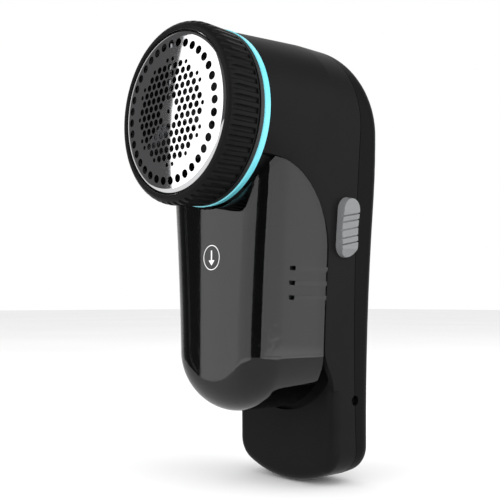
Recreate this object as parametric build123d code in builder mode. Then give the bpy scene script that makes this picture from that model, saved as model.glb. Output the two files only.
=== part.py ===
"""Rechargeable hand-held fabric shaver: round shaving head on an upright grip, with a clear lint box.

Units are millimetres. +Z is up along the grip, the shaving foil faces -Y and the switch is on +X.
The origin is under the middle of the shaver, level with the lowest point of the grip.
Depths are counted rearwards from the foil's hole circle, and heights from the head's axis.
"""
import os
from math import asin, cos, degrees, radians, sin

from build123d import *

# Overall size
HEAD_Z = 136.0  # height of the head's axis above the bottom of the grip
BACK = 77.5  # depth of the flat back
CROWN = -1.0  # depth of the foil's crown, the foremost point
FOIL_Y = -(BACK + CROWN) / 2  # the foil's hole circle, with the origin midway between crown and back
WALL = 2.0
GAP = 0.3

# Grip and head housing
BODY_R = 34.2
TUBE_R = 32.4
TUBE_FRONT = 18.4
NECK_FOOT = -62.0
TAPER_START = 7.0  # degrees below the horizontal where the round head turns into the grip's sides
GRIP_HALF = 26.5
GRIP_BOTTOM = -HEAD_Z
FOOT_R = 48.0  # the shallow curve across the bottom
FOOT_CORNER = 10.0
FOOT_Z = GRIP_BOTTOM + FOOT_R
GRIP_END = FOOT_Z - ((FOOT_R - FOOT_CORNER) ** 2 - (GRIP_HALF - FOOT_CORNER) ** 2) ** 0.5
GRIP_FRONT = 55.0
SHOULDER_R = 196.0
SHOULDER_Z = -29.5
BACK_EDGE_R = 6.6
SEAM_TOP = 61.6
SEAM_TOP_Z = 31.0
SEAM_LEAN = 0.039  # how far the parting plane moves rearwards for each millimetre down
SEAM_EDGE_R = 0.3
SEAM_GAP = 0.05
GRIP_EDGE_R = 3.8

# Housing screws, driven in from the back
HEAD_SCREWS = ((-22.0, -2.0), (22.0, -2.0))
GRIP_SCREWS = ((-15.0, -122.0), (15.0, -122.0))
SCREW_SPOTS = HEAD_SCREWS + GRIP_SCREWS
SCREW_R = 1.25
SCREW_HEAD_R = 2.4
SCREW_HEAD = 1.8
SCREW_SEAT = 73.5
SCREW_LENGTH = 12.0
BOSS_JOIN = 68.4
BOSS_R = 3.8
HEAD_WEB = 52.0

# Bay for the lint box
BAY_FRONT = 18.8
CHEEK = 49.8  # depth of the cheeks' front edges
BAY_BACK = 58.0
BAY_TURN_Z = -50.0
BAY_TOP_Z = -16.0
CHEEK_WALL = 2.2
SCOOP_R = 30.0
SCOOP_Z = -79.0
POCKET_TOP = -44.0
STEP_TOP = -84.0
STEP_BOTTOM = -100.0

# Shaving head
FOIL_R = 29.2
FOIL_SHEET = 0.25
HOLE_CIRCLE_R = 24.5
OUTER_HOLES = 36
OUTER_HOLE_R = 1.5
LATTICE_PITCH = 3.1
LATTICE_HOLE_R = 1.2
SMALL_HOLE_R = 0.8
RING_R = 32.9
RING_FRONT = 0.5
RING_BACK = 13.6
RING_RIBS = 60
RING_INNER = 30.7
LIP_R = 29.4
GROOVE_FRONT = 0.7
GROOVE_BACK = 12.6
GROOVE_R = 1.1
DOME_R = 26.8
FLANGE = 1.75
FLANGE_R = 30.2
FOIL_SEAT = 1.4
RIM_R = 32.3  # the head base's rim, which hides the front of the collar
RIM_FRONT = 13.95
COLLAR_FRONT = 15.6
BASE_R = 30.0
BASE_WALL = 2.2
BASE_FRONT = 4.6
BOSS_HOLE_R = 3.4
MOTOR_SCREW_X = 8.0
MOTOR_SCREW_R = 1.2
SHELF_Z = -13.4
SHELF_HALF = 24.6
WINDOW = (28.0, 20.8, 25.2)  # width, front and back
BAYONETS = 3
LUG_R = 29.3
LUG_FRONT = 8.7
LUG_BACK = 10.4
LUG_HALF = 7.0
SLOT_HALF = 10.0
RING_TWIST = 22.0
FLOOR = 13.0
FLOOR_THICK = 2.5
DUCT_BACK = 27.0

# Drive
MOTOR_R = 12.2
MOTOR_LENGTH = 30.8
MOTOR_FRONT = FLOOR + FLOOR_THICK
SHAFT_R = 1.0
SHAFT_FIT = 0.04
BLADE_R = 25.0
BLADES = 3
BLADE_SHEET = 0.7
BLADE_TILT = 30.0
BLADE_GAP = 0.35
ARM_THICK = 1.8
HUB_R = 5.0
HUB_FRONT = 1.3
HUB_BACK = 11.2
CAN_WALL = 0.9
CAP_THICK = 2.0
BUSH_R = 2.4
BUSH_LENGTH = 2.4
ARMATURE_R = 8.6
TERMINAL = (0.5, 2.6)
TERMINAL_X = 7.5

# Power
CELL_R = 7.1
CELL_LENGTH = 50.0
CELL_X = -11.0
CELL_DEPTH = 67.9
CELL_TOP = -60.0

# Switch
KNOB_Z = -39.6
KNOB_DEPTH = 57.9
KNOB_LENGTH = 22.4
KNOB_WIDTH = 9.4
KNOB_HEIGHT = 3.0
KNOB_TRAVEL = 4.5
NECK_UP = 3.0  # how far the knob's neck sits above the knob's middle
NECK = (3.6, 5.0)
NECK_LENGTH = 4.6
KNOB_LIFT = 0.2
GRIP_LINES = (4.8, 2.5, -0.4, -3.4, -5.7)  # heights of the knob's tilted grooves from its middle
GRIP_LINE = 0.55
GRIP_TILT = 11.0
THUMB_R = 34.0
THUMB_DEPTH = 0.45

# Charging socket
JACK_Z = -104.3
JACK_R = 1.65
JACK_LENGTH = 9.0
JACK_BODY = 6.4
JACK_FACE = 24.2
SHELL_HOLE_R = 1.9

# Lint box
LINT_STEP = 0.35
LINT_TAPER = 1.9  # how much narrower each side is at the front than at the back
LINT_WALL = 2.0
LINT_TURN = -86.0
LINT_BOTTOM = -107.3
LINT_GAP = 0.4
LINT_CORNER = 11.5
LINT_TOP = -6.0
NOTCH_R = 33.3
RIDGES = (-55.3, -60.5, -65.7)
RIDGE = (1.5, 16.4, 0.5)  # height, length and how far it stands out

# Circuit board
BOARD = (44.0, 31.0, 1.6)
BOARD_DEPTH = 60.35
BOARD_TOP = -26.5
BOARD_PARTS = (  # across, height, width, length and thickness of each component on the board
    (-12.0, -34.0, 7.0, 7.0, 1.6), (-2.0, -33.0, 4.0, 5.0, 1.4), (8.0, -36.0, 6.0, 3.0, 1.1),
    (-14.0, -46.0, 3.0, 6.0, 2.0), (0.0, -45.0, 5.0, 4.0, 1.2), (12.0, -46.0, 4.0, 4.0, 1.5),
)
SWITCH = (7.0, 4.2, 13.0)  # across, depth and height
SWITCH_X = 25.6
LEVER = (1.4, 2.2, 4.2)

os.makedirs("parts", exist_ok=True)


def save(part, name):
    """Label a finished piece and write it to its own file."""
    part.label = name
    export_step(part, f"parts/{name}.step")


def across(depth):
    """Plane across the head at a depth behind the foil: x is sideways and y is up, from the head's axis."""
    return Plane(origin=(0, FOIL_Y + depth, HEAD_Z), x_dir=(1, 0, 0), z_dir=(0, -1, 0))


def level(height):
    """Horizontal plane at a height from the head's axis: x is sideways and y is the depth."""
    return Plane(origin=(0, FOIL_Y, HEAD_Z + height), x_dir=(1, 0, 0), z_dir=(0, 0, 1))


# Plane along the shaver's middle: x is the depth and y the height from the head's axis
MIDDLE = Plane(origin=(0, FOIL_Y, HEAD_Z), x_dir=(0, 1, 0), z_dir=(1, 0, 0))
# The head's axis, for pieces that are turned: x is the radius and y the depth
TURNING = Plane(origin=(0, FOIL_Y, HEAD_Z), x_dir=(1, 0, 0), z_dir=(0, 0, 1))
HEAD_AXIS = Axis((0, FOIL_Y, HEAD_Z), (0, -1, 0))


def seam_depth(height):
    """Depth of the parting plane at a height from the head's axis."""
    return SEAM_TOP + (SEAM_TOP_Z - height) * SEAM_LEAN


def taper_point(radius):
    """Where the round head of this radius turns into the side of the grip."""
    return (radius * cos(radians(TAPER_START)), -radius * sin(radians(TAPER_START)))


def body_outline(inset=0.0):
    """Front view of the body: round head, hollow-curved sides, round corners and a shallow curved bottom."""
    radius = BODY_R - inset
    half = GRIP_HALF - inset
    x, z = taper_point(radius)
    lean = (sin(radians(TAPER_START)), cos(radians(TAPER_START)))
    scale = (FOOT_R - inset) / (FOOT_R - FOOT_CORNER)
    foot_x = (GRIP_HALF - FOOT_CORNER) * scale
    foot_z = FOOT_Z + (GRIP_END - FOOT_Z) * scale
    with BuildLine() as line:
        ThreePointArc((-x, z), (0, radius), (x, z))
        TangentArc((x, z), (half, GRIP_END), tangent=(-lean[0], -lean[1]))
        TangentArc((half, GRIP_END), (foot_x, foot_z), tangent=(0, -1))
        ThreePointArc((foot_x, foot_z), (0, GRIP_BOTTOM + inset), (-foot_x, foot_z))
        TangentArc((-half, GRIP_END), (-foot_x, foot_z), tangent=(0, -1))
        TangentArc((-x, z), (-half, GRIP_END), tangent=(lean[0], -lean[1]))
    return line.edges()


def neck_outline(radius, foot, half):
    """Front view of the head housing at one depth: a round top above a foot that narrows to a half width."""
    x, z = taper_point(radius)
    lean = (sin(radians(TAPER_START)), cos(radians(TAPER_START)))
    with BuildLine() as line:
        ThreePointArc((-x, z), (0, radius), (x, z))
        TangentArc((x, z), (half, foot), tangent=(-lean[0], -lean[1]))
        Line((half, foot), (-half, foot))
        TangentArc((-x, z), (-half, foot), tangent=(lean[0], -lean[1]))
    return line.edges()


def bay_profile(grow=0.0):
    """Side view of the space for the lint box: curved roof, then straight down in front of the cheeks."""
    depth = CHEEK + grow
    with BuildLine() as line:
        EllipticalCenterArc(
            (BAY_FRONT, BAY_TURN_Z), depth - BAY_FRONT, BAY_TOP_Z - BAY_TURN_Z + grow, 0, arc_size=90
        )
        Polyline(
            (depth, BAY_TURN_Z), (depth, GRIP_BOTTOM - 5), (-5, GRIP_BOTTOM - 5),
            (-5, BAY_TOP_Z + grow), (BAY_FRONT, BAY_TOP_Z + grow),
        )
    return line.edges()


def side_profile(inset=0.0):
    """Side view of the body: level top, rounded shoulder and flat upright back."""
    radius = SHOULDER_R - inset
    depth = BACK - inset
    top = BODY_R + 5
    reach = depth - radius + (radius**2 - (top - SHOULDER_Z) ** 2) ** 0.5
    angle = degrees(asin((top - SHOULDER_Z) / radius))
    with BuildLine() as line:
        CenterArc((depth - radius, SHOULDER_Z), radius, 0, angle)
        Polyline(
            (reach, top), (0, top), (0, GRIP_BOTTOM - 5), (depth, GRIP_BOTTOM - 5), (depth, SHOULDER_Z)
        )
    return line.edges()


def rear_edges(solid):
    """The rim of the back: every edge behind the parting plane that isn't straight along X or Y."""
    behind = solid.edges().filter_by(lambda edge: edge.center().Y > FOIL_Y + seam_depth(0) + 2)
    return behind - behind.filter_by(Axis.X) - behind.filter_by(Axis.Y)


def rear_body(inset=0.0, edge_radius=BACK_EDGE_R, front=CHEEK, front_radius=0.0):
    """The body from a front face to the back, drawn in by an inset, with its rim rounded."""
    with BuildPart() as body:
        with BuildSketch(across(front)):
            make_face(body_outline(inset))
        extrude(amount=front - BACK)
        with BuildSketch(MIDDLE):
            make_face(side_profile(inset))
        extrude(amount=2 * BODY_R, both=True, mode=Mode.INTERSECT)
        fillet(rear_edges(body), edge_radius)
        if front_radius > 0:
            fillet(body.faces().sort_by(Axis.Y)[0].edges(), front_radius)
    return body.part


def neck(inset=0.0):
    """The head housing in front of the cheeks: round at the front, the body's outline at the back."""
    with BuildPart() as part:
        with BuildSketch(across(TUBE_FRONT)):
            make_face(neck_outline(TUBE_R - inset, -27.0, 14.0))
        with BuildSketch(across(CHEEK)):
            make_face(neck_outline(BODY_R - inset, NECK_FOOT, side_x(NECK_FOOT, inset)))
        loft()
    return part.part


def ahead_of_seam(gap=0.0):
    """Side view of the space in front of the parting plane."""
    top, bottom = BODY_R + 10, GRIP_BOTTOM - 10
    with BuildLine() as line:
        Polyline(
            (0, top), (seam_depth(top) - gap, top), (seam_depth(bottom) - gap, bottom), (0, bottom), close=True
        )
    return line.edges()


def pocket_outline(inset=0.0):
    """Front view of the pocket between the cheeks: straight sides and a rounded scoop at the bottom."""
    with BuildSketch() as pocket:
        make_face(body_outline(CHEEK_WALL - inset))
        with Locations((0, SCOOP_Z)):
            Circle(SCOOP_R + inset, mode=Mode.INTERSECT)
        with BuildSketch(mode=Mode.PRIVATE) as upper:
            make_face(body_outline(CHEEK_WALL - inset))
            with Locations((0, (SCOOP_Z + POCKET_TOP + inset) / 2)):
                Rectangle(2 * BODY_R, POCKET_TOP + inset - SCOOP_Z, mode=Mode.INTERSECT)
        add(upper.sketch)
    return pocket.sketch


def grip_profile(grow=0.0):
    """Side view of the space below the cheeks, whose front edges sweep back to the grip's front face."""
    with BuildLine() as line:
        Spline(
            (CHEEK + grow, STEP_TOP), (GRIP_FRONT + grow, STEP_BOTTOM), tangents=((0, -1), (0, -1))
        )
        Polyline(
            (GRIP_FRONT + grow, STEP_BOTTOM), (BACK + 5, STEP_BOTTOM), (BACK + 5, GRIP_BOTTOM - 5),
            (-5, GRIP_BOTTOM - 5), (-5, STEP_TOP), (CHEEK + grow, STEP_TOP),
        )
    return line.edges()


def housing_form(inset=0.0):
    """The front housing's outside, or with an inset the hollow inside it, both running on past the seam."""
    with BuildPart() as form:
        add(neck(inset))
        add(rear_body(inset, BACK_EDGE_R - inset))
        for outline in (bay_profile(inset), grip_profile(inset)):
            with BuildSketch(MIDDLE):
                make_face(outline)
            extrude(amount=2 * BODY_R, both=True, mode=Mode.SUBTRACT)
        add(rear_body(inset, BACK_EDGE_R - inset, GRIP_FRONT + inset, max(GRIP_EDGE_R - inset, 0)))
        with BuildSketch(across(CHEEK - 1)):
            add(pocket_outline(inset))
        extrude(amount=CHEEK - 1 - BAY_BACK - inset, mode=Mode.SUBTRACT)
    return form.part


def turned(points):
    """Closed profile for a piece turned about the head's axis: each point is a radius and a depth."""
    with BuildLine() as line:
        Polyline(*points, close=True)
    return line.edges()


def tube_between(front, back, outer, inner):
    """Plain ring about the head's axis."""
    with BuildPart() as ring:
        with BuildSketch(across(front)):
            Circle(outer)
            if inner > 0:
                Circle(inner, mode=Mode.SUBTRACT)
        extrude(amount=front - back)
    return ring.part


# ---------------------------------------------------------------- shared shapes of the switch and socket
def side_x(height, inset=0.0):
    """Half width of the body's hollow-curved side at a height from the head's axis."""
    start_x, start_z = taper_point(BODY_R - inset)
    run_x, run_z = GRIP_HALF - inset - start_x, GRIP_END - start_z
    out_x, out_z = cos(radians(TAPER_START)), -sin(radians(TAPER_START))
    radius = (run_x**2 + run_z**2) / (2 * (run_x * out_x + run_z * out_z))
    mid_x, mid_z = start_x + radius * out_x, start_z + radius * out_z
    return mid_x - (radius**2 - (height - mid_z) ** 2) ** 0.5


SIDE_LEAN = degrees(asin((side_x(KNOB_Z + 8) - side_x(KNOB_Z - 8)) / 16))


def beside(height, depth, out=0.0):
    """Plane on the +X side: x runs rearwards, y up along the side and the normal points outwards."""
    normal = (cos(radians(SIDE_LEAN)), 0, -sin(radians(SIDE_LEAN)))
    origin = Vector(side_x(height), FOIL_Y + depth, HEAD_Z + height) + Vector(*normal) * out
    return Plane(origin=origin, x_dir=(0, 1, 0), z_dir=normal)


def knob_slot():
    """The slot in the side that the knob's neck runs in."""
    with BuildPart() as slot:
        with BuildSketch(beside(KNOB_Z + NECK_UP + KNOB_TRAVEL / 2, KNOB_DEPTH, 1)):
            Rectangle(NECK[0] + 2 * GAP, NECK[1] + KNOB_TRAVEL + 2 * GAP)
        extrude(amount=-6)
    return slot.part


def socket_hole():
    """The round hole in the side for the charging plug, on the parting plane."""
    with BuildPart() as hole:
        with BuildSketch(Plane(origin=(JACK_FACE, FOIL_Y + seam_depth(JACK_Z), HEAD_Z + JACK_Z),
                               x_dir=(0, 1, 0), z_dir=(1, 0, 0))):
            Circle(SHELL_HOLE_R)
        extrude(amount=10)
    return hole.part


def columns(spots, radius, front, back):
    """Round columns along the depth at a list of places across the body."""
    with BuildPart() as group:
        with BuildSketch(across(front)):
            with Locations(*spots):
                Circle(radius)
        extrude(amount=front - back)
    return group.part


def ring_sector(outer, inner, start, end):
    """Part of a flat ring between two angles, seen from the front."""
    with BuildSketch(mode=Mode.PRIVATE) as sector:
        Circle(outer)
        Circle(inner, mode=Mode.SUBTRACT)
        middle, half = (start + end) / 2, (end - start) / 2
        with BuildLine():
            Polyline(
                (0, 0),
                (3 * outer * cos(radians(middle - half)), 3 * outer * sin(radians(middle - half))),
                (3 * outer * cos(radians(middle + half)), 3 * outer * sin(radians(middle + half))),
                close=True,
            )
        make_face(mode=Mode.INTERSECT)
    return sector.sketch


def dome_depth(radius):
    """Depth of the foil's outside at a radius: a shallow dome with its hole circle at depth 0."""
    return CROWN * (1 - (radius / HOLE_CIRCLE_R) ** 2)


def lattice_holes():
    """Places of the foil's inner holes on a hexagonal lattice, as (places, hole radius) groups."""
    full, small = [], []
    for i in range(-7, 8):
        for j in range(-7, 8):
            norm = i * i + i * j + j * j
            place = ((i + j / 2) * LATTICE_PITCH, j * LATTICE_PITCH * 3**0.5 / 2)
            if 1 < norm <= 31:
                full.append(place)
            elif norm in (0, 36, 37):
                small.append(place)
    return (full, LATTICE_HOLE_R), (small, SMALL_HOLE_R)


def blade_plane(number, shift=0.0):
    """Plane of one blade: x runs outwards along the arm and y rearwards, leaning over by the tilt."""
    turn = radians(90 + number * 360 / BLADES)
    lean = radians(BLADE_TILT)
    outwards = Vector(cos(turn), 0, sin(turn))
    around = Vector(-sin(turn), 0, cos(turn))
    normal = around * cos(lean) - Vector(0, 1, 0) * sin(lean)
    rearwards = normal.cross(outwards)
    if rearwards.Y < 0:
        normal, rearwards = normal * -1, rearwards * -1
    origin = Vector(0, FOIL_Y, HEAD_Z) + normal * shift
    return Plane(origin=origin, x_dir=outwards, z_dir=normal)


def blade_edge(radius):
    """Where a leaning blade starts so that its foremost corner stays clear of the foil's inside."""
    depth = dome_depth(radius) + FOIL_SHEET + BLADE_GAP
    return (depth + BLADE_SHEET * sin(radians(BLADE_TILT))) / cos(radians(BLADE_TILT))


def lint_taper(front, back):
    """How much the lint box's side comes in between two depths."""
    return LINT_TAPER * (back - front) / (CHEEK - GAP - BAY_FRONT)


def lint_outline(inset, narrower):
    """Front view of the lint box at one depth: the body's hollow-curved sides above a round bottom."""
    trim = LINT_STEP + inset + narrower
    half = side_x(LINT_TURN, trim)
    with BuildSketch(mode=Mode.PRIVATE) as outline:
        make_face(body_outline(trim))
        with Locations((0, (LINT_TURN + LINT_TOP) / 2)):
            Rectangle(2 * BODY_R, LINT_TOP - LINT_TURN, mode=Mode.INTERSECT)
        with BuildLine():
            EllipticalCenterArc((0, LINT_TURN), half, LINT_TURN - LINT_BOTTOM - inset, 180, arc_size=180)
            Line((-half, LINT_TURN), (half, LINT_TURN))
        make_face()
    return outline.sketch


def lint_form(inset=0.0):
    """The lint box's outside, or with an inset its inside: a tub with its front rim well rounded."""
    back = CHEEK - GAP - inset
    with BuildPart() as form:
        for depth in (BAY_FRONT + inset, back):
            with BuildSketch(across(depth)):
                add(lint_outline(inset, lint_taper(depth, back)))
        loft(ruled=True)
        rim = form.faces().sort_by(Axis.Y)[0].outer_wire().edges()
        fillet(rim - rim.filter_by(GeomType.LINE), LINT_CORNER - inset)
        if inset == 0:
            with BuildSketch(MIDDLE):
                make_face(bay_profile(-LINT_GAP))
            extrude(amount=2 * BODY_R, both=True, mode=Mode.INTERSECT)
    return form.part


# ---------------------------------------------------------------- front housing
with BuildPart() as front_housing:
    add(housing_form())
    with BuildSketch(MIDDLE):
        make_face(ahead_of_seam())
    extrude(amount=2 * BODY_R, both=True, mode=Mode.INTERSECT)
    add(housing_form(WALL), mode=Mode.SUBTRACT)
    fillet(front_housing.faces().sort_by(Axis.Y)[-1].outer_wire().edges(), SEAM_EDGE_R)
    add(tube_between(TUBE_FRONT - 1, DUCT_BACK + GAP, BASE_R + 0.1, 0), mode=Mode.SUBTRACT)
    # Screw columns: the upper pair stands on webs from the sides, the lower pair on the grip's front wall
    for x, z in HEAD_SCREWS:
        with BuildSketch(across(HEAD_WEB)):
            with Locations((x * 1.27, z)):
                Rectangle(abs(x) * 0.5, 2.0)
        extrude(amount=HEAD_WEB - seam_depth(0) + 0.5)
    add(columns(HEAD_SCREWS, BOSS_R, HEAD_WEB, BOSS_JOIN))
    add(columns(GRIP_SCREWS, BOSS_R, GRIP_FRONT + 1, BOSS_JOIN))
    add(columns(SCREW_SPOTS, SCREW_R + 0.05, SCREW_SEAT - SCREW_LENGTH - 0.5, BACK), mode=Mode.SUBTRACT)
    add(knob_slot(), mode=Mode.SUBTRACT)
    add(socket_hole(), mode=Mode.SUBTRACT)

# ---------------------------------------------------------------- back cover
with BuildPart() as back_cover:
    add(rear_body())
    with BuildSketch(MIDDLE):
        make_face(ahead_of_seam(-SEAM_GAP))
    extrude(amount=2 * BODY_R, both=True, mode=Mode.SUBTRACT)
    add(rear_body(WALL, BACK_EDGE_R - WALL), mode=Mode.SUBTRACT)
    add(columns(SCREW_SPOTS, BOSS_R, BOSS_JOIN + 0.1, BACK - WALL / 2))
    add(columns(SCREW_SPOTS, SCREW_HEAD_R + 0.3, SCREW_SEAT, BACK + 1), mode=Mode.SUBTRACT)
    add(columns(SCREW_SPOTS, SCREW_R + 0.2, BOSS_JOIN - 1, BACK), mode=Mode.SUBTRACT)
    add(knob_slot(), mode=Mode.SUBTRACT)
    add(socket_hole(), mode=Mode.SUBTRACT)

with BuildPart() as housing_screws:
    add(columns(SCREW_SPOTS, SCREW_R, SCREW_SEAT - SCREW_LENGTH, SCREW_SEAT))
    add(columns(SCREW_SPOTS, SCREW_HEAD_R, SCREW_SEAT, SCREW_SEAT + SCREW_HEAD))
    with BuildSketch(across(SCREW_SEAT + SCREW_HEAD)):
        for spot in SCREW_SPOTS:
            with Locations(spot):
                Rectangle(2.6, 0.5)
                Rectangle(0.5, 2.6)
    extrude(amount=0.9, mode=Mode.SUBTRACT)

# ---------------------------------------------------------------- head: base, collar, ring and foil
with BuildPart() as head_base:
    add(tube_between(BASE_FRONT, DUCT_BACK, BASE_R, BASE_R - BASE_WALL))
    add(tube_between(RIM_FRONT, COLLAR_FRONT - 0.05, RIM_R, BASE_R - 0.5))
    with BuildSketch(across(FLOOR)):
        Circle(BASE_R - BASE_WALL / 2)
        Circle(BOSS_HOLE_R, mode=Mode.SUBTRACT)
        with Locations((-MOTOR_SCREW_X, 0), (MOTOR_SCREW_X, 0)):
            Circle(MOTOR_SCREW_R + 0.1, mode=Mode.SUBTRACT)
        with BuildSketch(mode=Mode.PRIVATE) as lint_drop:
            Circle(BASE_R - BASE_WALL)
            with Locations((0, SHELF_Z - BASE_R / 2)):
                Rectangle(2 * BASE_R, BASE_R, mode=Mode.INTERSECT)
        add(lint_drop.sketch, mode=Mode.SUBTRACT)
    extrude(amount=-FLOOR_THICK)
    # Shelf between the motor and the duct, and the duct's rear wall
    with BuildSketch(level(SHELF_Z - 1.5)):
        with Locations((0, (FLOOR + DUCT_BACK) / 2)):
            Rectangle(2 * SHELF_HALF, DUCT_BACK - FLOOR)
    extrude(amount=1.5)
    with BuildSketch(across(DUCT_BACK - 1.5)):
        add(lint_drop.sketch)
        Circle(BASE_R - BASE_WALL / 2)
        with Locations((0, SHELF_Z - BASE_R / 2)):
            Rectangle(2 * BASE_R, BASE_R, mode=Mode.INTERSECT)
    extrude(amount=-1.5)
    # Window in the duct's bottom, over the open top of the lint box
    with BuildSketch(level(-BASE_R - 1)):
        with Locations((0, (WINDOW[1] + WINDOW[2]) / 2)):
            Rectangle(WINDOW[0], WINDOW[2] - WINDOW[1])
    extrude(amount=8, mode=Mode.SUBTRACT)
    # Bayonet slots: straight in from the front, then round
    for turn in range(BAYONETS):
        angle = 90 + turn * 360 / BAYONETS
        with BuildSketch(across(BASE_FRONT - 1)):
            add(ring_sector(BASE_R + 1, LUG_R - 0.3, angle - SLOT_HALF, angle + SLOT_HALF))
        extrude(amount=BASE_FRONT - 1 - LUG_BACK - GAP, mode=Mode.SUBTRACT)
        with BuildSketch(across(LUG_FRONT - GAP)):
            add(ring_sector(BASE_R + 1, LUG_R - 0.3, angle - SLOT_HALF, angle + SLOT_HALF + RING_TWIST))
        extrude(amount=LUG_FRONT - LUG_BACK - 2 * GAP, mode=Mode.SUBTRACT)

with BuildPart() as accent_collar:
    with BuildSketch(TURNING):
        make_face(turned([
            (BASE_R + 0.1, COLLAR_FRONT), (RIM_R - 0.1, COLLAR_FRONT), (RIM_R + 0.3, COLLAR_FRONT + 0.4),
            (TUBE_R - 0.15, TUBE_FRONT - 0.1), (BASE_R + 0.1, TUBE_FRONT - 0.1),
        ]))
    revolve(axis=HEAD_AXIS)

with BuildPart() as locking_ring:
    with BuildSketch(TURNING):
        with BuildLine():
            Polyline(
                (LIP_R, FOIL_SEAT), (LIP_R, RING_FRONT + 0.5), (LIP_R + 0.2, RING_FRONT + 0.1),
                (LIP_R + 0.6, RING_FRONT),
            )
            EllipticalCenterArc((LIP_R + 0.6, RING_FRONT + 4.3), RING_R - LIP_R - 0.6, 4.3, 0, arc_size=-90)
            Polyline(
                (RING_R, RING_FRONT + 4.3), (RING_R - 0.45, RING_BACK - 0.6), (RING_R - 0.9, RING_BACK),
                (RING_INNER, RING_BACK), (RING_INNER, FOIL_SEAT), (LIP_R, FOIL_SEAT),
            )
        make_face()
    revolve(axis=HEAD_AXIS)
    with BuildSketch(across(GROOVE_FRONT)):
        with PolarLocations(RING_R - 0.05, RING_RIBS):
            Circle(GROOVE_R)
    extrude(amount=GROOVE_FRONT - GROOVE_BACK, mode=Mode.SUBTRACT)
    for turn in range(BAYONETS):
        angle = 90 + turn * 360 / BAYONETS
        with BuildSketch(across(LUG_FRONT)):
            add(ring_sector(RING_INNER + 0.5, LUG_R, angle - LUG_HALF, angle + LUG_HALF))
        extrude(amount=LUG_FRONT - LUG_BACK)

with BuildPart() as foil:
    with BuildSketch(TURNING):
        with BuildLine():
            for shift in (0, FOIL_SHEET):
                dome = ThreePointArc(
                    (0, CROWN + shift), (DOME_R / 2, dome_depth(DOME_R / 2) + shift),
                    (DOME_R, dome_depth(DOME_R) + shift),
                )
                shoulder = TangentArc(dome @ 1, (FOIL_R, FLANGE - 0.2 + shift), tangent=dome % 1)
                Line(shoulder @ 1, (FLANGE_R, FLANGE + shift))
            Line((0, CROWN), (0, CROWN + FOIL_SHEET))
            Line((FLANGE_R, FLANGE), (FLANGE_R, FLANGE + FOIL_SHEET))
        make_face()
    revolve(axis=HEAD_AXIS)
    with BuildSketch(across(CROWN - 1)):
        with PolarLocations(HOLE_CIRCLE_R, OUTER_HOLES):
            Circle(OUTER_HOLE_R)
        for spots, radius in lattice_holes():
            with Locations(*spots):
                Circle(radius)
    extrude(amount=CROWN - 6, mode=Mode.SUBTRACT)

with BuildPart() as foil_frame:
    with BuildSketch(TURNING):
        make_face(turned([
            (26.6, 2.6), (27.4, 1.7), (28.3, FLANGE + FOIL_SHEET + 0.05), (FLANGE_R, FLANGE + FOIL_SHEET + 0.05),
            (FLANGE_R, BASE_FRONT - 0.2), (27.4, BASE_FRONT - 0.2),
        ]))
    revolve(axis=HEAD_AXIS)

# ---------------------------------------------------------------- blades
with BuildPart() as blade_carrier:
    add(tube_between(HUB_FRONT, HUB_BACK, HUB_R, SHAFT_R + SHAFT_FIT))
    for number in range(BLADES):
        with BuildSketch(blade_plane(number, BLADE_SHEET)):
            Polygon(
                (HUB_R - 1.5, 3.4), (BLADE_R - 1.5, 3.6), (BLADE_R - 1.5, 7.6), (HUB_R - 1.5, 10.4), align=None
            )
        extrude(amount=ARM_THICK)
    add(tube_between(HUB_FRONT - 1, HUB_BACK + 1, SHAFT_R + SHAFT_FIT, 0), mode=Mode.SUBTRACT)

blades = []
for number in range(BLADES):
    with BuildPart() as blade:
        with BuildSketch(blade_plane(number)):
            Polygon(
                (HUB_R + 1.0, blade_edge(HUB_R + 1)), (BLADE_R, blade_edge(BLADE_R)),
                (BLADE_R, blade_edge(BLADE_R) + 3.0), (BLADE_R - 2.0, 7.2), (HUB_R + 1.0, 7.2), align=None,
            )
        extrude(amount=BLADE_SHEET)
    blades.append(blade)

with BuildPart() as hub_cap:
    with BuildSketch(TURNING):
        with BuildLine():
            ThreePointArc((0, 0.1), (2.4, 0.35), (4.0, HUB_FRONT - 0.3))
            Polyline((4.0, HUB_FRONT - 0.3), (4.0, HUB_FRONT), (0, HUB_FRONT), (0, 0.1))
        make_face()
    revolve(axis=HEAD_AXIS)

# ---------------------------------------------------------------- motor
MOTOR_BACK = MOTOR_FRONT + MOTOR_LENGTH
with BuildPart() as motor_can:
    add(tube_between(MOTOR_FRONT, MOTOR_BACK - CAP_THICK, MOTOR_R, MOTOR_R - CAN_WALL))
    add(tube_between(MOTOR_FRONT, MOTOR_FRONT + CAN_WALL, MOTOR_R, BUSH_R))
    add(tube_between(MOTOR_FRONT - 1.5, MOTOR_FRONT + CAN_WALL, BUSH_R + 0.9, BUSH_R))
    add(columns(((-MOTOR_SCREW_X, 0), (MOTOR_SCREW_X, 0)), MOTOR_SCREW_R + 0.05, MOTOR_FRONT - 1, MOTOR_FRONT + 2),
        mode=Mode.SUBTRACT)

with BuildPart() as motor_end_cap:
    add(tube_between(MOTOR_BACK - CAP_THICK + 0.05, MOTOR_BACK, MOTOR_R - 0.4, BUSH_R))
    add(tube_between(MOTOR_BACK, MOTOR_BACK + 2, BUSH_R + 1.2, BUSH_R))
    with BuildSketch(across(MOTOR_BACK - CAP_THICK)):
        with Locations((-TERMINAL_X, 0), (TERMINAL_X, 0)):
            Rectangle(TERMINAL[0] + 0.1, TERMINAL[1] + 0.1)
    extrude(amount=-CAP_THICK - 1, mode=Mode.SUBTRACT)

with BuildPart() as motor_terminals:
    with BuildSketch(across(MOTOR_BACK - CAP_THICK - 1)):
        with Locations((-TERMINAL_X, 0), (TERMINAL_X, 0)):
            Rectangle(*TERMINAL)
    extrude(amount=-CAP_THICK - 6)

with BuildPart() as motor_bushes:
    for front in (MOTOR_FRONT - 1.5, MOTOR_BACK - CAP_THICK + 0.05):
        add(tube_between(front, front + BUSH_LENGTH, BUSH_R, SHAFT_R + SHAFT_FIT))

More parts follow.
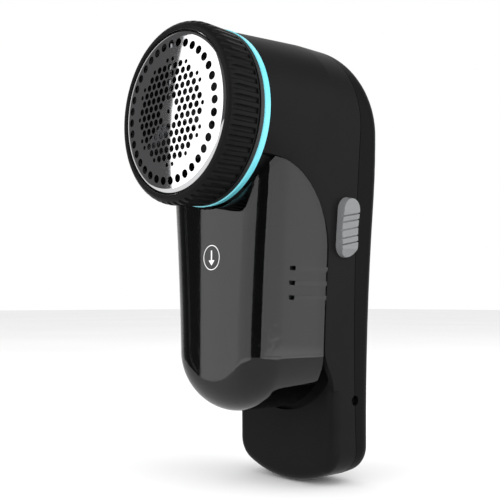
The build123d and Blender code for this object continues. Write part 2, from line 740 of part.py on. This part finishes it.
with BuildPart() as motor_shaft:
    add(tube_between(HUB_FRONT + 0.1, MOTOR_BACK + 1.5, SHAFT_R, 0))

with BuildPart() as motor_armature:
    add(tube_between(MOTOR_FRONT + 6, MOTOR_BACK - 10, ARMATURE_R, SHAFT_R))
    with BuildSketch(across(MOTOR_FRONT + 5)):
        with PolarLocations(ARMATURE_R, 3):
            Rectangle(8, 1.6)
    extrude(amount=-MOTOR_LENGTH, mode=Mode.SUBTRACT)

with BuildPart() as motor_commutator:
    add(tube_between(MOTOR_BACK - 9.6, MOTOR_BACK - 4, 2.6, SHAFT_R))

with BuildPart() as motor_magnets:
    for middle in (0, 180):
        with BuildSketch(across(MOTOR_FRONT + 5)):
            add(ring_sector(MOTOR_R - CAN_WALL - 0.05, ARMATURE_R + 0.5, middle - 62, middle + 62))
        extrude(amount=-18)

with BuildPart() as motor_screws:
    spots = ((-MOTOR_SCREW_X, 0), (MOTOR_SCREW_X, 0))
    add(columns(spots, MOTOR_SCREW_R, FLOOR, MOTOR_FRONT + CAN_WALL + 0.6))
    add(columns(spots, 2.2, FLOOR - 1.3, FLOOR))

with BuildPart() as dust_seal:
    add(tube_between(HUB_BACK + 0.4, FLOOR, BOSS_HOLE_R + 1.4, SHAFT_R + 0.3))

# ---------------------------------------------------------------- lint box
with BuildPart() as lint_container:
    add(lint_form())
    add(lint_form(LINT_WALL), mode=Mode.SUBTRACT)
    add(tube_between(BAY_FRONT - 5, BACK, NOTCH_R, 0), mode=Mode.SUBTRACT)
    # Finger ridges along both sides
    with BuildSketch(across(CHEEK - GAP - RIDGE[1])):
        make_face(body_outline(LINT_STEP - RIDGE[2]))
        with BuildSketch(mode=Mode.PRIVATE) as core:
            make_face(body_outline(LINT_STEP + LINT_TAPER))
        add(core.sketch, mode=Mode.SUBTRACT)
        with Locations(*((0, height) for height in RIDGES)):
            Rectangle(2 * BODY_R, RIDGE[0], mode=Mode.INTERSECT)
    extrude(amount=-RIDGE[1])

# ---------------------------------------------------------------- power
with BuildPart() as battery_cell:
    with BuildSketch(level(CELL_TOP - CELL_LENGTH)):
        with Locations((CELL_X, CELL_DEPTH)):
            Circle(CELL_R)
    extrude(amount=CELL_LENGTH - 1.0)
    fillet(battery_cell.edges().filter_by(GeomType.CIRCLE), 0.6)
    with BuildSketch(level(CELL_TOP - 1.0)):
        with Locations((CELL_X, CELL_DEPTH)):
            Circle(2.8)
    extrude(amount=1.0)

with BuildPart() as battery_tabs:
    for height in (CELL_TOP, CELL_TOP - CELL_LENGTH - 0.3):
        with BuildSketch(level(height)):
            with Locations((CELL_X + 2.5, CELL_DEPTH)):
                Rectangle(11, 4)
        extrude(amount=0.3)

with BuildPart() as circuit_board:
    with BuildSketch(across(BOARD_DEPTH)):
        with Locations((0, BOARD_TOP - BOARD[1] / 2)):
            RectangleRounded(BOARD[0], BOARD[1], 1.5)
    extrude(amount=-BOARD[2])

with BuildPart() as board_parts:
    for x, z, width, height, thick in BOARD_PARTS:
        with BuildSketch(across(BOARD_DEPTH + BOARD[2])):
            with Locations((x, z)):
                Rectangle(width, height)
        extrude(amount=-thick)

SWITCH_Z = KNOB_Z + NECK_UP + KNOB_TRAVEL / 2
with BuildPart() as power_switch:
    with BuildSketch(across(BOARD_DEPTH - SWITCH[1])):
        with Locations((SWITCH_X - SWITCH[0] / 2, SWITCH_Z)):
            Rectangle(SWITCH[0], SWITCH[2])
    extrude(amount=-SWITCH[1])
    with BuildSketch(beside(SWITCH_Z, KNOB_DEPTH)):
        with Locations((BOARD_DEPTH - KNOB_DEPTH - SWITCH[1] / 2, 0)):
            Rectangle(LEVER[0] + 2 * GAP, LEVER[1] + KNOB_TRAVEL + 2 * GAP)
    extrude(amount=-side_x(SWITCH_Z) + SWITCH_X - 3, mode=Mode.SUBTRACT)

with BuildPart() as switch_lever:
    with BuildSketch(beside(KNOB_Z + NECK_UP, KNOB_DEPTH, -side_x(KNOB_Z) + SWITCH_X - 2.5)):
        with Locations((BOARD_DEPTH - KNOB_DEPTH - SWITCH[1] / 2, 0)):
            Rectangle(LEVER[0], LEVER[1])
    extrude(amount=LEVER[2])

knob_side = beside(KNOB_Z, KNOB_DEPTH)
# Plane across the knob: x runs outwards from the side and y up along it
knob_across = Plane(origin=knob_side.origin, x_dir=knob_side.z_dir, z_dir=(0, -1, 0))
with BuildPart() as slide_knob:
    with BuildSketch(beside(KNOB_Z, KNOB_DEPTH, KNOB_LIFT)):
        SlotOverall(KNOB_LENGTH, KNOB_WIDTH, rotation=90)
    extrude(amount=KNOB_HEIGHT, taper=8)
    with BuildSketch(beside(KNOB_Z + NECK_UP, KNOB_DEPTH, KNOB_LIFT + 0.5)):
        Rectangle(*NECK)
    extrude(amount=-NECK_LENGTH)
    # A shallow thumb hollow across the middle, tilted grooves and a lower end that slopes to the side
    with BuildSketch(knob_across):
        with Locations((KNOB_LIFT + KNOB_HEIGHT + THUMB_R - THUMB_DEPTH, 0)):
            Circle(THUMB_R)
    extrude(amount=KNOB_WIDTH, both=True, mode=Mode.SUBTRACT)
    with BuildSketch(knob_across):
        Polygon((4, -KNOB_LENGTH / 2 + 3.4), (4, -KNOB_LENGTH / 2 - 1), (1.2, -KNOB_LENGTH / 2 - 1),
                (1.5, -KNOB_LENGTH / 2), (KNOB_LIFT + KNOB_HEIGHT, -KNOB_LENGTH / 2 + 3.4), align=None)
    extrude(amount=KNOB_WIDTH, both=True, mode=Mode.SUBTRACT)
    with BuildSketch(beside(KNOB_Z, KNOB_DEPTH, KNOB_LIFT + KNOB_HEIGHT - 0.95)):
        with Locations(*((0, height) for height in GRIP_LINES)):
            Rectangle(KNOB_WIDTH + 1, GRIP_LINE, rotation=GRIP_TILT)
    extrude(amount=2, mode=Mode.SUBTRACT)
    with BuildSketch(beside(KNOB_Z + NECK_UP, KNOB_DEPTH, KNOB_LIFT - NECK_LENGTH)):
        with Locations((BOARD_DEPTH - KNOB_DEPTH - SWITCH[1] / 2, 0)):
            Rectangle(LEVER[0] + 0.1, LEVER[1] + 0.1)
    extrude(amount=2.2, mode=Mode.SUBTRACT)

with BuildPart() as charging_jack:
    jack_plane = Plane(origin=(JACK_FACE - JACK_LENGTH - 1.5, FOIL_Y + seam_depth(JACK_Z), HEAD_Z + JACK_Z),
                       x_dir=(0, 1, 0), z_dir=(1, 0, 0))
    with BuildSketch(jack_plane):
        RectangleRounded(JACK_BODY, JACK_BODY, 1.0)
    extrude(amount=JACK_LENGTH + 1.5)
    with BuildSketch(jack_plane.offset(1.5)):
        Circle(JACK_R)
    extrude(amount=JACK_LENGTH, mode=Mode.SUBTRACT)

PIECES = {
    "front_housing": front_housing, "back_cover": back_cover, "housing_screws": housing_screws,
    "head_base": head_base, "accent_collar": accent_collar, "locking_ring": locking_ring, "foil": foil,
    "foil_frame": foil_frame, "blade_carrier": blade_carrier, "hub_cap": hub_cap, "motor_can": motor_can,
    "motor_end_cap": motor_end_cap, "motor_terminals": motor_terminals, "motor_bushes": motor_bushes,
    "motor_shaft": motor_shaft, "motor_armature": motor_armature, "motor_commutator": motor_commutator,
    "motor_magnets": motor_magnets, "motor_screws": motor_screws, "dust_seal": dust_seal,
    "lint_container": lint_container, "battery_cell": battery_cell, "battery_tabs": battery_tabs,
    "circuit_board": circuit_board, "board_parts": board_parts, "power_switch": power_switch,
    "switch_lever": switch_lever, "slide_knob": slide_knob, "charging_jack": charging_jack,
}
for number, blade in enumerate(blades, start=1):
    PIECES[f"blade_{number}"] = blade
for name, piece in PIECES.items():
    save(piece.part, name)
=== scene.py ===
"""Looks for the fabric shaver: materials, one small print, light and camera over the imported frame.

Lengths are in metres, angles in degrees and colours in linear RGB.
"""

from math import cos, pi, radians, sin

import bmesh
import bpy
from mathutils import Matrix, Vector


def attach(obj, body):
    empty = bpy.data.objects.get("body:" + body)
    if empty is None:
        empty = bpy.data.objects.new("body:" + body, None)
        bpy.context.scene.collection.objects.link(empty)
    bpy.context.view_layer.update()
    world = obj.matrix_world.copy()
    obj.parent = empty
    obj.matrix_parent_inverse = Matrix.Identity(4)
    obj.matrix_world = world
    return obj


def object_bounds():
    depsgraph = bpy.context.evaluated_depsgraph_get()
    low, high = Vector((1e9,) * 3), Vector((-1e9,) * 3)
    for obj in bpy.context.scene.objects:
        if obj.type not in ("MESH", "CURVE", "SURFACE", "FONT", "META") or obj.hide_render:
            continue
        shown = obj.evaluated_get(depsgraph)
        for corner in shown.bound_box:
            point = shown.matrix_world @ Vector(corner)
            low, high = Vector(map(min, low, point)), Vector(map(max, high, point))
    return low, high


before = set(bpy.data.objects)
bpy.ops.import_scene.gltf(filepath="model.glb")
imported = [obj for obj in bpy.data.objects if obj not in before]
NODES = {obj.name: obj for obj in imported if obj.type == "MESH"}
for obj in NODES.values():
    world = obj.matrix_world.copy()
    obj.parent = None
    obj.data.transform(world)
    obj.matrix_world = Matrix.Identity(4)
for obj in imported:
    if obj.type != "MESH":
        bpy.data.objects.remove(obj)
cad_low, cad_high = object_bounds()


# ------------------------------------------------------------ materials
RAMP_ENDS = (0.3, 0.7)      # noise values that give a material's dark and light colour
NOISE_ENDS = (0.25, 0.75)   # noise values that give its lowest and highest roughness
MIX_A, MIX_B, MIX_RESULT = 6, 7, 2   # the colour sockets of a Mix node


def map_range(tree, value, start, end, low=0.0, high=1.0):
    """A value stretched from start-end to low-high, and held at the ends."""
    node = tree.nodes.new("ShaderNodeMapRange")
    ends = {"From Min": start, "From Max": end, "To Min": low, "To Max": high}
    for socket, number in ends.items():
        node.inputs[socket].default_value = number
    tree.links.new(value, node.inputs["Value"])
    return node.outputs["Result"]


class Mat:
    """One procedural material: a Principled shader with helpers that vary colour, roughness and relief."""

    def __init__(self, name, colour, rough, metallic=0.0, **sockets):
        self.material = bpy.data.materials.new(name)
        self.material.use_nodes = True
        self.material.diffuse_color = (*colour, 1)
        self.tree = self.material.node_tree
        self.shader = self.tree.nodes["Principled BSDF"]
        self.shader.inputs["Base Color"].default_value = (*colour, 1)
        self.shader.inputs["Roughness"].default_value = rough
        self.shader.inputs["Metallic"].default_value = metallic
        for key, value in sockets.items():
            self.shader.inputs[key.replace("_", " ")].default_value = value
        self.coords = self.add("ShaderNodeTexCoord").outputs["Object"]

    def add(self, kind):
        return self.tree.nodes.new(kind)

    def link(self, source, target):
        self.tree.links.new(source, target)

    def noise(self, scale, detail, rough=0.5, stretch=(1, 1, 1)):
        """Noise with features of about 1/scale metres, drawn out along an axis by a factor under 1."""
        mapping = self.add("ShaderNodeMapping")
        mapping.inputs["Scale"].default_value = stretch
        node = self.add("ShaderNodeTexNoise")
        node.inputs["Scale"].default_value = scale
        node.inputs["Detail"].default_value = detail
        node.inputs["Roughness"].default_value = rough
        self.link(self.coords, mapping.inputs["Vector"])
        self.link(mapping.outputs["Vector"], node.inputs["Vector"])
        return node.outputs["Fac"]

    def colour(self, value, dark, light):
        ramp = self.add("ShaderNodeValToRGB")
        for element, place, shade in zip(ramp.color_ramp.elements, RAMP_ENDS, (dark, light)):
            element.position = place
            element.color = (*shade, 1)
        self.link(value, ramp.inputs["Fac"])
        self.link(ramp.outputs["Color"], self.shader.inputs["Base Color"])

    def roughness(self, value, low, high):
        self.link(map_range(self.tree, value, *NOISE_ENDS, low, high), self.shader.inputs["Roughness"])

    def bump(self, value, millimetres, strength):
        node = self.add("ShaderNodeBump")
        node.inputs["Distance"].default_value = millimetres / 1000
        node.inputs["Strength"].default_value = strength
        self.link(value, node.inputs["Height"])
        self.link(node.outputs["Normal"], self.shader.inputs["Normal"])


def tint(colour, factor):
    return tuple(min(1.0, part * factor) for part in colour)


def moulded(name, colour, rough, grain, relief, spread=0.12, **sockets):
    """Moulded plastic: fine spark-eroded grain, slow flow marks and a little handling polish."""
    mat = Mat(name, colour, rough, **sockets)
    fine = mat.noise(grain, 2.0)
    slow = mat.noise(38, 4.0, 0.6)
    mat.colour(slow, tint(colour, 1 - spread), tint(colour, 1 + spread))
    mat.roughness(slow, rough * 0.88, rough * 1.12)
    mat.bump(fine, relief, 0.35)
    return mat


def metal(name, colour, rough, stretch, scale, relief=0.004, spread=0.06):
    """Bare metal with drawing or grinding lines along one axis."""
    mat = Mat(name, colour, rough, 1.0)
    lines = mat.noise(scale, 4.0, 0.65, stretch)
    slow = mat.noise(60, 3.0)
    mat.colour(slow, tint(colour, 1 - spread), tint(colour, 1 + spread))
    mat.roughness(lines, rough * 0.8, rough * 1.25)
    mat.bump(lines, relief, 0.4)
    return mat


def paint_shade_on_side_faces(mat, colour):
    """Paints shade: faces that point to -Y keep the steel colour, and the rest, hole walls included, turn
    dark as painted shade.
    """
    faced_front, faced_aside = -0.5, -0.3
    normal = mat.add("ShaderNodeSeparateXYZ")
    mat.link(mat.add("ShaderNodeNewGeometry").outputs["True Normal"], normal.inputs["Vector"])
    steel_colour = mat.shader.inputs["Base Color"].links[0].from_socket
    mix = mat.add("ShaderNodeMix")
    mix.data_type = "RGBA"
    mat.link(map_range(mat.tree, normal.outputs["Y"], faced_front, faced_aside), mix.inputs["Factor"])
    mat.link(steel_colour, mix.inputs[MIX_A])
    mix.inputs[MIX_B].default_value = (*colour, 1)
    mat.link(mix.outputs[MIX_RESULT], mat.shader.inputs["Base Color"])


def paint(mat, *names):
    """Gives every material slot of the named nodes one material."""
    for name in names:
        node = NODES[name]
        if not node.material_slots:
            node.data.materials.append(mat.material)
        for slot in node.material_slots:
            slot.material = mat.material


# Outside: housing, ring, collar, foil, knob and lint box
paint(moulded("satin_black", (0.0078, 0.0078, 0.0080), 0.42, 2600, 0.012, Specular_IOR_Level=0.06),
      "front_housing")
# The back cover is a darker copy of the housing's satin black: painted shade for the darker tone of its
# side.
paint(moulded("satin_black_painted_shade_cover", (0.0047, 0.0047, 0.0049), 0.42, 2600, 0.012, Specular_IOR_Level=0.05),
      "back_cover")
paint(moulded("ring_black", (0.0068, 0.0068, 0.0070), 0.34, 1800, 0.01, Specular_IOR_Level=0.06),
      "locking_ring")
paint(moulded("inner_black", (0.012, 0.012, 0.0125), 0.5, 2600, 0.012),
      "head_base", "foil_frame", "blade_carrier", "hub_cap", "motor_end_cap", "power_switch",
      "charging_jack")

cyan = Mat("cyan_accent", (0.16, 0.64, 0.73), 0.22, Coat_Weight=0.4, Coat_Roughness=0.08)
cyan.colour(cyan.noise(60, 3.0), (0.145, 0.60, 0.69), (0.175, 0.68, 0.77))
cyan.roughness(cyan.noise(500, 2.0), 0.18, 0.28)
cyan.bump(cyan.noise(1500, 2.0), 0.006, 0.3)
paint(cyan, "accent_collar")

foil_steel = metal("foil_steel", (0.86, 0.86, 0.87), 0.05, (1, 1, 0.03), 1500, 0.0004, 0.03)
# The foil's hole walls and steep rim get a dark colour: painted shade, not a finish of the steel.
paint_shade_on_side_faces(foil_steel, (0.03, 0.03, 0.032))
paint(foil_steel, "foil")

# Inside: blades, motor, cell and board
paint(metal("blade_steel", (0.36, 0.37, 0.38), 0.38, (0.05, 1, 1), 1800),
      "blade_1", "blade_2", "blade_3")
paint(metal("can_steel", (0.58, 0.59, 0.60), 0.3, (1, 0.06, 1), 700),
      "motor_can", "motor_shaft")
paint(metal("screw_steel", (0.50, 0.51, 0.53), 0.32, (1, 0.2, 1), 1200),
      "housing_screws", "motor_screws")
paint(metal("copper", (0.78, 0.40, 0.24), 0.3, (1, 0.1, 1), 1200, 0.006, 0.1),
      "motor_armature", "motor_commutator", "motor_terminals")
paint(metal("sintered_bronze", (0.60, 0.44, 0.26), 0.5, (1, 1, 1), 2500, 0.01, 0.1), "motor_bushes")
paint(metal("nickel_strip", (0.66, 0.65, 0.62), 0.25, (0.1, 1, 1), 1500, 0.003), "battery_tabs")
paint(moulded("magnet", (0.035, 0.035, 0.038), 0.6, 1200, 0.02, 0.2), "motor_magnets")
paint(moulded("felt", (0.42, 0.40, 0.35), 0.95, 1400, 0.15, 0.2), "dust_seal")
paint(moulded("cell_sleeve", (0.03, 0.16, 0.34), 0.3, 300, 0.05), "battery_cell")
paint(moulded("board_green", (0.012, 0.10, 0.045), 0.35, 900, 0.01), "circuit_board")
paint(moulded("component_black", (0.02, 0.02, 0.022), 0.55, 1500, 0.01), "board_parts")

paint(moulded("knob_grey", (0.172, 0.175, 0.179), 0.38, 1600, 0.012, 0.05, Specular_IOR_Level=0.4),
      "slide_knob", "switch_lever")

smoke = Mat("smoked_clear", (0.10, 0.103, 0.106), 0.03, IOR=1.49, Transmission_Weight=1.0)
smoke.colour(smoke.noise(25, 3.0), (0.094, 0.097, 0.10), (0.106, 0.109, 0.112))
smoke.roughness(smoke.noise(200, 3.0, 0.6), 0.01, 0.03)
smoke.bump(smoke.noise(90, 2.0), 0.002, 0.2)
paint(smoke, "lint_container")


# ------------------------------------------------------------ print on the lint box
BOX_FRONT = -0.01945        # depth of the lint box's front face
INK_PROUD = 0.00002         # how far the print stands out of that face
INK_THICKNESS = 0.00008
MARK_X, MARK_Z = 0.0, 0.0850
RIM_OUTER, RIM_INNER = 0.0046, 0.0043
RIM_POINTS = 72
SHAFT_HALF, SHAFT_TOP = 0.00035, 0.0026
BARB_HALF, BARB_Z, TIP_Z = 0.0017, -0.0010, -0.0029


def circle(radius):
    turns = [2 * pi * i / RIM_POINTS for i in range(RIM_POINTS)]
    return [(radius * cos(turn), radius * sin(turn)) for turn in turns]


def flat_print(name, shapes, mat, body):
    """Thin print that faces -Y and rides on a body; each shape is an outline and a hole or None."""
    mesh = bpy.data.meshes.new(name)
    ink = bmesh.new()
    for shape in shapes:
        loops = [
            [ink.verts.new((MARK_X + x, BOX_FRONT - INK_PROUD, MARK_Z + z)) for x, z in loop]
            for loop in shape if loop
        ]
        if len(loops) == 1:
            ink.faces.new(loops[0])
            continue
        outer, inner = loops
        for i in range(len(outer)):
            j = (i + 1) % len(outer)
            ink.faces.new((outer[i], outer[j], inner[j], inner[i]))
    extruded = bmesh.ops.extrude_face_region(ink, geom=ink.faces[:])["geom"]
    moved = [item for item in extruded if isinstance(item, bmesh.types.BMVert)]
    bmesh.ops.translate(ink, vec=(0, INK_THICKNESS, 0), verts=moved)
    bmesh.ops.recalc_face_normals(ink, faces=ink.faces)
    ink.to_mesh(mesh)
    ink.free()
    mesh.materials.append(mat.material)
    piece = bpy.data.objects.new(name, mesh)
    bpy.context.collection.objects.link(piece)
    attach(piece, body)


white_ink = Mat("white_ink", (0.86, 0.86, 0.85), 0.5)
white_ink.colour(white_ink.noise(400, 2.0), (0.82, 0.82, 0.81), (0.90, 0.90, 0.89))
white_ink.bump(white_ink.noise(3000, 2.0), 0.004, 0.3)
arrow = [
    (-SHAFT_HALF, SHAFT_TOP), (-SHAFT_HALF, BARB_Z), (-BARB_HALF, BARB_Z), (0.0, TIP_Z),
    (BARB_HALF, BARB_Z), (SHAFT_HALF, BARB_Z), (SHAFT_HALF, SHAFT_TOP),
]
flat_print("empty_mark", [(circle(RIM_OUTER), circle(RIM_INNER)), (arrow, None)], white_ink, "lint_box")


# ------------------------------------------------------------ camera
CAMERA_PLACE = (0.23089, -0.20736, 0.06885)
CAMERA_AZIMUTH, CAMERA_ELEVATION = 48.148, -3.643
SENSOR_WIDTH, LENS = 36.0, 58.628   # millimetres
CLIP_START = 0.01


def looking(back):
    """Rotation of something that looks away from a back vector, kept upright."""
    back = Vector(back).normalized()
    right = Vector((0, 0, 1)).cross(back).normalized()
    up = back.cross(right)
    return Matrix((right, up, back)).transposed().to_4x4()


camera = bpy.data.cameras.new("camera")
camera.sensor_width = SENSOR_WIDTH
camera.lens = LENS
camera.clip_start = CLIP_START
viewer = bpy.data.objects.new("camera", camera)
bpy.context.collection.objects.link(viewer)
azimuth, elevation = radians(CAMERA_AZIMUTH), radians(CAMERA_ELEVATION)
viewer.matrix_world = Matrix.Translation(CAMERA_PLACE) @ looking(
    (cos(elevation) * sin(azimuth), -cos(elevation) * cos(azimuth), sin(elevation))
)
bpy.context.scene.camera = viewer


# ------------------------------------------------------------ light panels and floor
PANEL_LOW, PANEL_HIGH = -0.066, 1.10
FRONT_Y, FRONT_LEFT, FRONT_RIGHT, FRONT_POWER = -0.60, -0.739, 0.12, 1.4
SIDE_X, SIDE_NEAR, SIDE_FAR, SIDE_POWER = 0.60, -0.58, 0.95, 1.5
FLOOR_HALF, FLOOR_CELLS = 6.0, 4
FLOOR_GAP = 0.0004          # between the floor and the lowest point of the shaver


def softbox(name, low, high, towards, power):
    """Rectangular light between two corners, unseen by the camera; power is for each unit of area."""
    low, high = Vector(low), Vector(high)
    turn = looking(-Vector(towards))
    across, upright = turn.to_3x3().col[0], turn.to_3x3().col[1]
    light = bpy.data.lights.new(name, "AREA")
    light.shape = "RECTANGLE"
    light.size = abs(across.dot(high - low))
    light.size_y = abs(upright.dot(high - low))
    light.energy = power * light.size * light.size_y * pi
    box = bpy.data.objects.new(name, light)
    bpy.context.collection.objects.link(box)
    box.matrix_world = Matrix.Translation((low + high) / 2) @ turn
    box.visible_camera = False


softbox("front_softbox", (FRONT_LEFT, FRONT_Y, PANEL_LOW), (FRONT_RIGHT, FRONT_Y, PANEL_HIGH),
        (0, 1, 0), FRONT_POWER)
softbox("side_softbox", (SIDE_X, SIDE_NEAR, PANEL_LOW), (SIDE_X, SIDE_FAR, PANEL_HIGH),
        (-1, 0, 0), SIDE_POWER)

floor_mesh = bpy.data.meshes.new("floor")
grid = bmesh.new()
bmesh.ops.create_grid(grid, x_segments=FLOOR_CELLS, y_segments=FLOOR_CELLS, size=FLOOR_HALF)
grid.to_mesh(floor_mesh)
grid.free()
floor = bpy.data.objects.new("floor", floor_mesh)
bpy.context.collection.objects.link(floor)
floor.location = (0, 0, cad_low.z - FLOOR_GAP)
floor.visible_glossy = False
floor.visible_transmission = False
pale = Mat("pale_floor", (0.9, 0.9, 0.9), 0.9, Specular_IOR_Level=0.0)
pale.colour(pale.noise(3, 2.0), (0.89, 0.89, 0.89), (0.92, 0.92, 0.92))
floor_mesh.materials.append(pale.material)


# ------------------------------------------------------------ surroundings
# White where the camera looks and for soft fill. Reflections see a dim room with a pale wall behind
# the shaver and pale ground; light through the smoked plastic sees the dim room alone.
WHITE, DIM_ROOM = (1, 1, 1), (0.08, 0.08, 0.082)
FILL_STRENGTH, WALL_STRENGTH, GROUND_STRENGTH = 0.95, 0.85, 0.8
WALL_AXIS, WALL_OUTER, WALL_INNER = (-0.745, 0.667, 0.05), 62, 48
GROUND_AXIS, GROUND_OUTER, GROUND_INNER = (0, 0, -1), 83.2, 82.4

world = bpy.data.worlds.new("world")
bpy.context.scene.world = world
world.use_nodes = True
tree = world.node_tree
direction = tree.nodes.new("ShaderNodeTexCoord").outputs["Generated"]
path = tree.nodes.new("ShaderNodeLightPath").outputs


def background(colour, strength=1.0):
    node = tree.nodes.new("ShaderNodeBackground")
    node.inputs["Color"].default_value = (*colour, 1)
    node.inputs["Strength"].default_value = strength
    return node.outputs["Background"]


def mixed(factor, first, second):
    """The first shader where the factor is 0, and the second where it is 1."""
    node = tree.nodes.new("ShaderNodeMixShader")
    for socket, source in enumerate((factor, first, second)):
        tree.links.new(source, node.inputs[socket])
    return node.outputs["Shader"]


def near(axis, outer, inner):
    """1 for directions nearer to an axis than the inner angle, and 0 beyond the outer one."""
    facing = tree.nodes.new("ShaderNodeVectorMath")
    facing.operation = "DOT_PRODUCT"
    facing.inputs[1].default_value = Vector(axis).normalized()
    tree.links.new(direction, facing.inputs[0])
    return map_range(tree, facing.outputs["Value"], cos(radians(outer)), cos(radians(inner)))


dim = background(DIM_ROOM)
wall = mixed(near(WALL_AXIS, WALL_OUTER, WALL_INNER), dim, background(WHITE, WALL_STRENGTH))
ground = mixed(near(GROUND_AXIS, GROUND_OUTER, GROUND_INNER), wall, background(WHITE, GROUND_STRENGTH))
seen = mixed(path["Is Transmission Ray"], ground, dim)
soft = mixed(path["Is Diffuse Ray"], seen, background(WHITE, FILL_STRENGTH))
output = tree.nodes["World Output"].inputs["Surface"]
tree.links.new(mixed(path["Is Camera Ray"], soft, background(WHITE)), output)
bpy.context.scene.view_settings.view_transform = "Standard"
